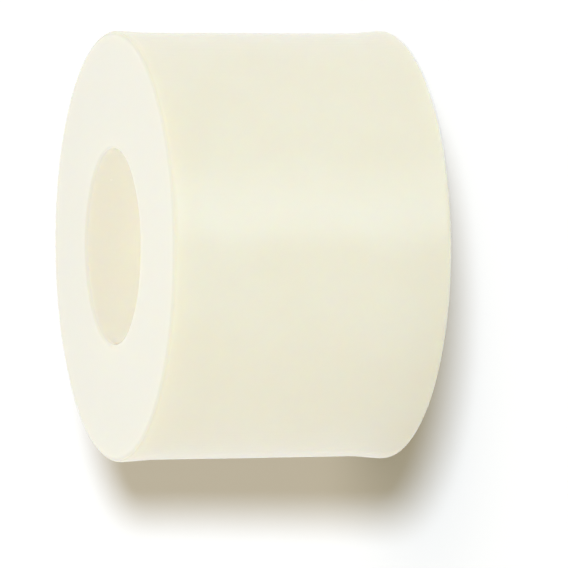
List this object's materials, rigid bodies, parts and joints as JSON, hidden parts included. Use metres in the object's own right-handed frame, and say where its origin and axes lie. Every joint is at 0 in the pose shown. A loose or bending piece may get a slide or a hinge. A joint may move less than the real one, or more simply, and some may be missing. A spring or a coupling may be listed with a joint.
{
  "type": "nylon spacer",
  "caption": "Short round nylon spacer with a plain clearance bore, holding two parts a fixed distance apart on a machine screw.",
  "frame": {"origin": "centre of the lower end face, on the bore axis", "axes": "+Z along the bore axis, from the lower end face to the upper one; the part is round, so X and Y are free"},
  "size_m": [0.0096, 0.0096, 0.0063],
  "materials": {
    "nylon": "natural off-white nylon, satin and slightly translucent"
  },
  "bodies": {
    "root": {"spacer": "nylon"}
  },
  "joints": []
}
